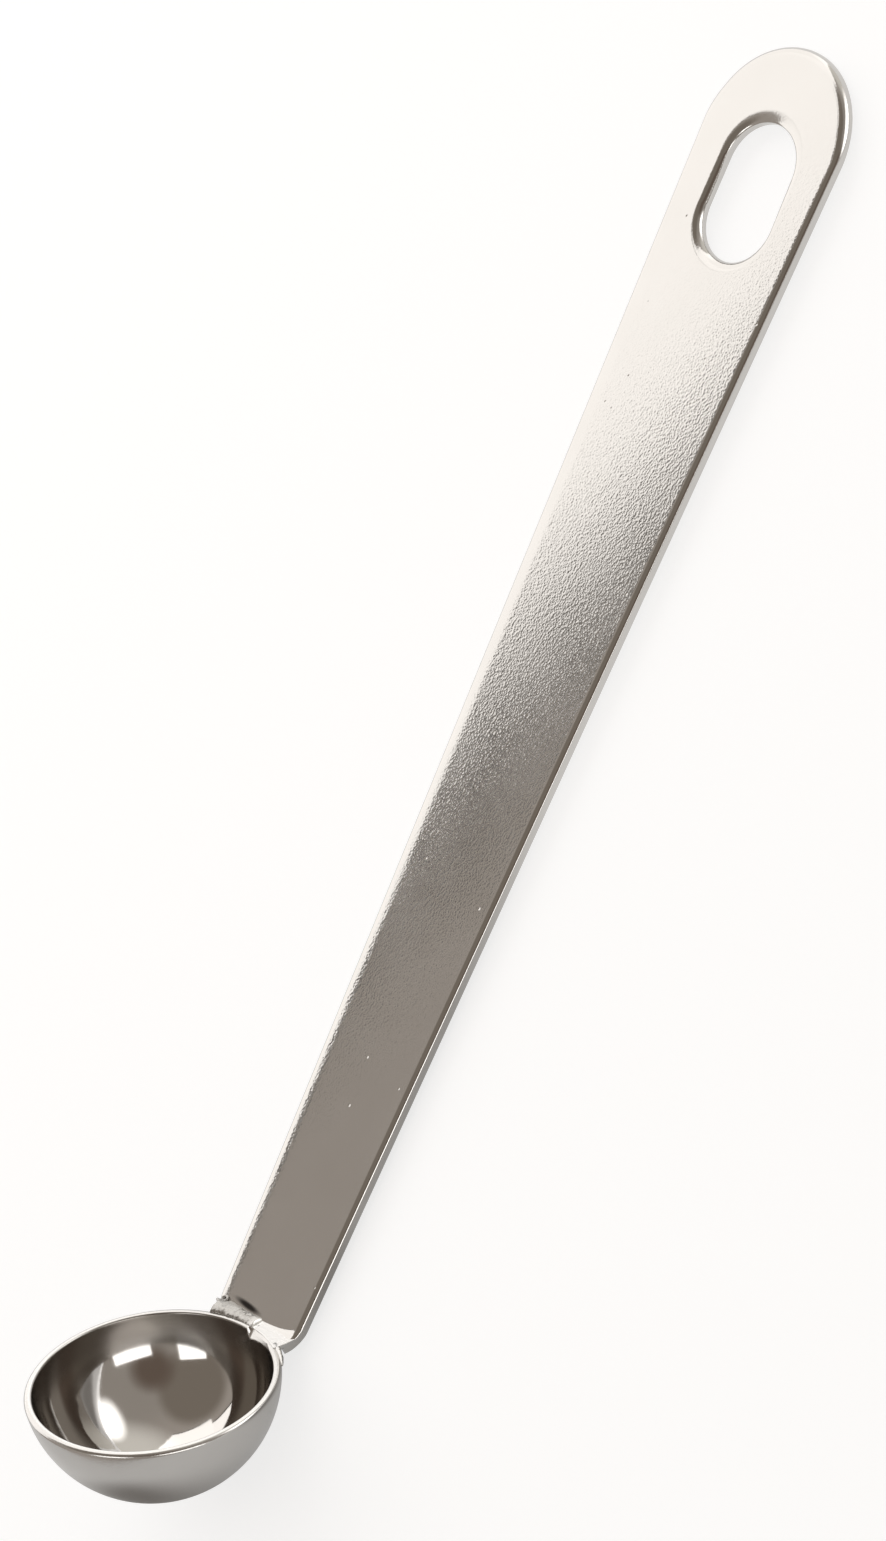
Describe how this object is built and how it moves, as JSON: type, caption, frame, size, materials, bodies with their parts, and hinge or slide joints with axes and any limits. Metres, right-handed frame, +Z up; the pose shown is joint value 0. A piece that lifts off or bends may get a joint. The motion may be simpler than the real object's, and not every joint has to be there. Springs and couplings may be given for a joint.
{
  "type": "mini ladle",
  "caption": "Small measuring ladle of stainless steel: a round pressed bowl welded to the folded end of a flat tapered strip handle with a round end and a hanging slot.",
  "frame": {"origin": "on the surface that the ladle lies on, under the middle of its overall length", "axes": "+X along the handle from the bowl to the hanging end, +Y across the handle, +Z up out of the handle's front face"},
  "size_m": [0.184, 0.0298, 0.0252],
  "materials": {
    "polished_steel": "stainless steel, mirror-polished inside and fine satin outside",
    "satin_steel": "tumbled satin stainless steel with a fine pebbled grain",
    "weld_steel": "weld metal, rippled on one half and ground flush on the other"
  },
  "bodies": {
    "root": {"bowl": "polished_steel", "handle": "satin_steel", "weld_seam": "weld_steel"}
  },
  "joints": []
}
